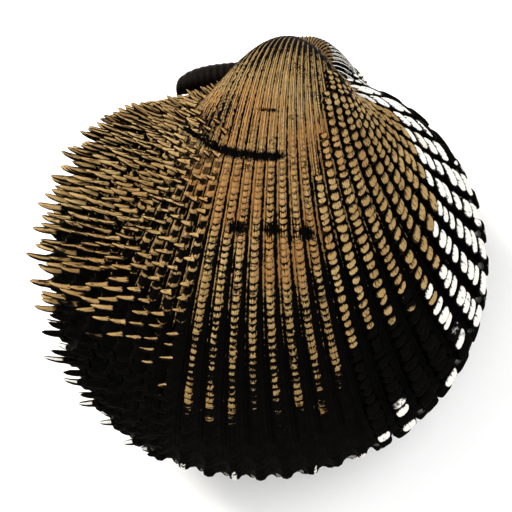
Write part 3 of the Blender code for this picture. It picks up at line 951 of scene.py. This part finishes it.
# The spines take lighter tans: painted light that offsets the shade on their sideways faces
litSpineLook = dict(shellLook, tan=(0.300, 0.182, 0.067, 1.0), lightTan=(0.440, 0.295, 0.125, 1.0))
litSpineSkin = shellMaterial("litSpineSkin", litSpineLook, paintGrowths)
print("shell material made")

for side, name in ((1, "right_valve"), (-1, "left_valve")):
    points, faces, marks, uvs, sorts = valveSurface(side)
    valve = addMesh(name + "_wall", lay(points, side), faces, shellSkin, marks, uvs, sorts)
    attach(valve, "root")
    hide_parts(name)
    for suffix, maker, skin in (("_spines", spineMesh, litSpineSkin), ("_beads", tileMesh, beadSkin)):
        points, faces, marks, uvs = maker(side)
        piece = addMesh(name + suffix, lay(points, side), faces, skin, marks, uvs)
        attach(piece, "root")
    wallTriangles = sum(len(face.vertices) - 2 for face in valve.data.polygons)
    print(name, "made, its wall of", wallTriangles, "triangles")

# The horny band behind the beaks: a long bean with grooves across it
band = {
    "backX": -17.2 * mm,
    "frontX": 0.5 * mm,
    "height": 4.9 * mm,
    "halfWidth": 3.5 * mm,
    "clearance": 0.4 * mm,
    "stations": 90,
    "sides": 40,
    "grooves": 13,
    "grooveDepth": 0.11 * mm,
}


def bandMesh():
    angles = np.linspace(form["hingeAngle"] - 60.0, form["hingeAngle"] + 60.0, 481)
    x, y = ringPoint(angles)
    points = []
    for i in range(band["stations"]):
        share = 0.5 - 0.5 * math.cos(math.pi * (i + 0.5) / band["stations"])
        place = band["backX"] + share * (band["frontX"] - band["backX"])
        floor = float(np.interp(-place, -x, y)) + band["clearance"]
        swell = (1.0 - abs(2.0 * share - 1.0) ** 2.6) ** 0.5
        closing = min(1.0, 3.2 * swell)
        height = band["height"] * (0.45 + 0.55 * swell) * closing
        half = band["halfWidth"] * (0.35 + 0.65 * swell) * (1.0 - 0.45 * share) * closing
        floor += 0.5 * (band["height"] - height) * (1.0 - closing)
        for j in range(band["sides"]):
            turn = 2.0 * math.pi * j / band["sides"]
            curl = share * band["grooves"] + 0.35 * math.sin(turn)
            groove = 0.5 - 0.5 * math.cos(2.0 * math.pi * curl)
            dent = 1.0 - 2.2 * band["grooveDepth"] / band["height"] * groove
            up = height * (0.5 + 0.5 * math.sin(turn) * dent)
            points.append((place, floor + up, half * math.cos(turn) * dent))
    return np.array(points), tubeFaces(0, band["stations"], band["sides"])


bandLook = {
    "dark": (0.0022, 0.0016, 0.0012, 1.0),
    "brown": (0.008, 0.004, 0.0025, 1.0),
    "roughness": 0.60,
    "specular": 0.03,
}


def hornMaterial(name, look):
    material = bpy.data.materials.new(name)
    material.use_nodes = True
    tree = material.node_tree
    shader = tree.nodes["Principled BSDF"]
    where = node(tree, "ShaderNodeTexCoord").outputs["Object"]
    waves = {"Vector": where, "Scale": 260.0, "Distortion": 1.4, "Detail": 2.0}
    wave = node(tree, "ShaderNodeTexWave", waves, bands_direction="X")
    factor = times(wave.outputs["Fac"], noise(where, 700.0, 4.0, 0.6))
    colour = mixColour(factor, look["dark"], look["brown"])
    tree.links.new(colour, shader.inputs["Base Color"])
    shader.inputs["Roughness"].default_value = look["roughness"]
    shader.inputs["Specular IOR Level"].default_value = look["specular"]
    relief = {"Height": wave.outputs["Fac"], "Strength": 0.4, "Distance": 0.2 * mm}
    bumped = node(tree, "ShaderNodeBump", relief)
    tree.links.new(bumped.outputs["Normal"], shader.inputs["Normal"])
    return material


points, faces = bandMesh()
horn = addMesh("ligament_band", lay(points, 1), faces, hornMaterial("horn", bandLook))
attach(horn, "root")
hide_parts("ligament")
print("ligament made")

# Pale floor and soft studio light
studio = {
    "floor": (0.86, 0.855, 0.84, 1.0),
    "floorReach": 3.0,
    "world": (1.0, 1.0, 1.0, 1.0),
    "worldStrength": 0.55,
    "lights": (
        # place, size, watts, colour
        ((-0.42, 0.38, 0.55), 0.35, 9.5, (1.0, 0.97, 0.93)),
        ((0.50, 0.10, 0.50), 0.50, 3.5, (0.95, 0.97, 1.0)),
        ((0.0, -0.50, 0.40), 0.50, 2.2, (1.0, 1.0, 1.0)),
    ),
}
floorData = bpy.data.meshes.new("floor")
reach = studio["floorReach"]
corners = [(-reach, -reach, 0.0), (reach, -reach, 0.0), (reach, reach, 0.0), (-reach, reach, 0.0)]
floorData.from_pydata(corners, [], [[0, 1, 2, 3]])
floor = bpy.data.objects.new("floor", floorData)
bpy.context.scene.collection.objects.link(floor)
paper = bpy.data.materials.new("paper")
paper.use_nodes = True
paperShader = paper.node_tree.nodes["Principled BSDF"]
paperShader.inputs["Base Color"].default_value = studio["floor"]
paperShader.inputs["Roughness"].default_value = 0.9
floorData.materials.append(paper)

world = bpy.data.worlds.new("studio")
world.use_nodes = True
sky = world.node_tree.nodes["Background"]
sky.inputs[0].default_value = studio["world"]
sky.inputs[1].default_value = studio["worldStrength"]
bpy.context.scene.world = world
middle = Vector((0.0, 0.0, 0.03))
for i, (place, size, watts, colour) in enumerate(studio["lights"]):
    lamp = bpy.data.lights.new("soft%d" % i, "AREA")
    lamp.size = size
    lamp.energy = watts
    lamp.color = colour
    thing = bpy.data.objects.new("soft%d" % i, lamp)
    thing.location = place
    thing.rotation_euler = (middle - Vector(place)).to_track_quat("-Z", "Y").to_euler()
    bpy.context.scene.collection.objects.link(thing)
print("studio lit")

# The camera looks square on to the right valve, leaning over from the front and the hinge
shot = {
    "lean": 9.6,
    "rise": 3.0,
    "distance": 0.75,
    "sensor": 36.0,
    "fill": 0.095,      # width that the picture shows at the aim
    "aim": (-0.68 * mm, 2.62 * mm, 8.0 * mm),
}
turned = lyingTurn()
lean, rise = math.radians(shot["lean"]), math.radians(shot["rise"])
towards = turned @ Vector((math.sin(lean) * math.cos(rise), math.sin(rise), math.cos(lean) * math.cos(rise)))
upwards = turned @ Vector((0.0, 1.0, 0.0))
upwards = (upwards - towards * upwards.dot(towards)).normalized()
rightwards = upwards.cross(towards)
camera = bpy.data.cameras.new("camera")
camera.sensor_width = shot["sensor"]
camera.lens = shot["sensor"] * shot["distance"] / shot["fill"]
aim = turned @ Vector(shot["aim"]) + Vector(lying["move"])
eye = bpy.data.objects.new("camera", camera)
facing = Matrix((rightwards, upwards, towards)).transposed().to_4x4()
eye.matrix_world = Matrix.Translation(aim + towards * shot["distance"]) @ facing
bpy.context.scene.collection.objects.link(eye)
bpy.context.scene.camera = eye
bpy.context.scene.view_settings.view_transform = "Standard"
print("camera placed")
